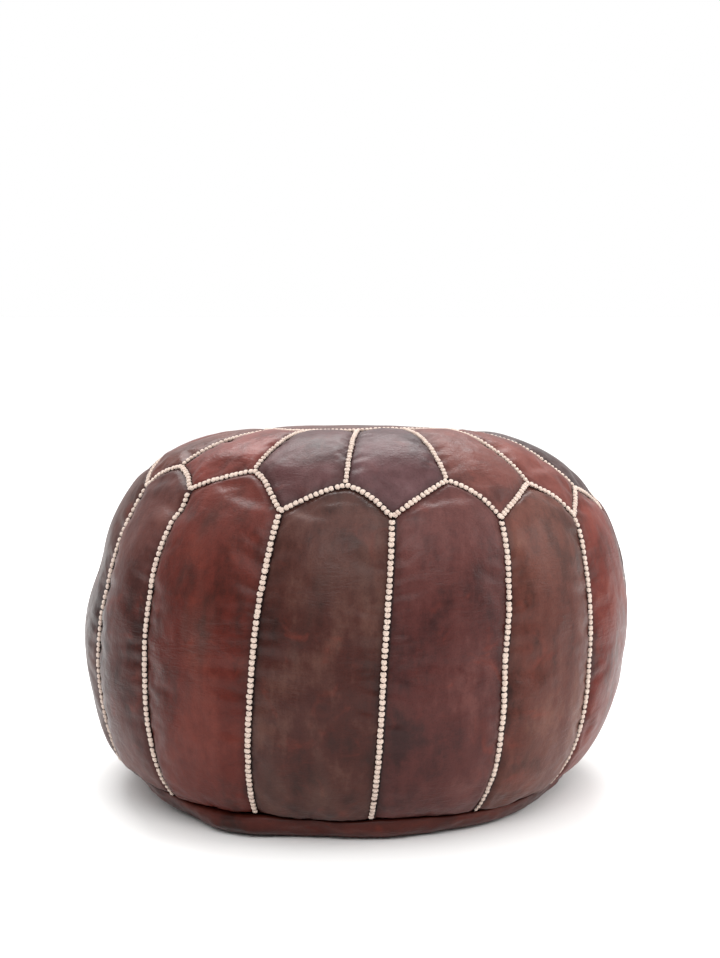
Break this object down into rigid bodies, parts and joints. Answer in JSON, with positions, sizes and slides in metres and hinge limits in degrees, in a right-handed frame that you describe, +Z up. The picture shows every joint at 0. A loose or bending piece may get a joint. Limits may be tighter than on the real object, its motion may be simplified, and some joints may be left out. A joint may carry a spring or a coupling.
{
  "type": "moroccan leather pouf",
  "caption": "Round stuffed leather floor pouf with wedge side panels, a petalled top, braided seams and a zipped underside.",
  "frame": {"origin": "middle of the level underside, where the pouf stands on the floor", "axes": "+Z up through the crown, X along the zip of the underside with the closed zip's slider at +X, -Y towards the viewer in front"},
  "size_m": [0.531, 0.533, 0.35],
  "materials": {
    "side_leather": "mottled hand-dyed red-brown goat leather, waxed satin",
    "top_leather": "mottled hand-dyed plum-brown goat leather, waxed satin",
    "base_leather": "hand-dyed red-brown goat leather, satin",
    "braid_thread": "plump cream cotton braid stitches, matte",
    "sewing_thread": "waxed dark brown thread",
    "zip_tape": "woven dark brown herringbone tape",
    "zip_metal": "antique brass, lightly tarnished",
    "stuffing_cloth": "packed shredded cloth"
  },
  "bodies": {
    "pouf": {"stuffing": "stuffing_cloth", "top_medallion": "top_leather", "top_petal_1": "top_leather", "top_petal_2": "top_leather", "top_petal_3": "top_leather", "top_petal_4": "top_leather", "top_petal_5": "top_leather", "top_petal_6": "top_leather", "top_petal_7": "top_leather", "top_petal_8": "top_leather", "top_petal_9": "top_leather", "top_petal_10": "top_leather", "top_petal_11": "top_leather", "top_petal_12": "top_leather", "top_petal_13": "top_leather", "top_petal_14": "top_leather", "side_panel_1": "side_leather", "side_panel_2": "side_leather", "side_panel_3": "side_leather", "side_panel_4": "side_leather", "side_panel_5": "side_leather", "side_panel_6": "side_leather", "side_panel_7": "side_leather", "side_panel_8": "side_leather", "side_panel_9": "side_leather", "side_panel_10": "side_leather", "side_panel_11": "side_leather", "side_panel_12": "side_leather", "side_panel_13": "side_leather", "side_panel_14": "side_leather", "base_half_front": "base_leather", "base_half_back": "base_leather", "side_seam_braids": "braid_thread", "top_seam_braids": "braid_thread", "zigzag_seam_braid": "braid_thread", "medallion_braid": "braid_thread", "base_seam_thread": "sewing_thread", "zip_seam_thread": "sewing_thread", "zip_tape_front": "zip_tape", "zip_tape_back": "zip_tape", "zip_teeth_front": "zip_metal", "zip_teeth_back": "zip_metal", "zip_end_stops": "zip_metal"},
    "slider": {"zip_slider": "zip_metal"},
    "pull_tab": {"zip_pull_tab": "zip_metal"}
  },
  "joints": [
    {"name": "zip_slide", "type": "slide", "parent": "pouf", "child": "slider", "axis": [-1, 0, 0], "range_m": [0, 0.272]},
    {"name": "pull_tab_swing", "type": "hinge", "parent": "slider", "child": "pull_tab", "pos_m": [0.1366, 0, 0.0074], "axis": [0, -1, 0], "range_deg": [-13, 150]}
  ]
}
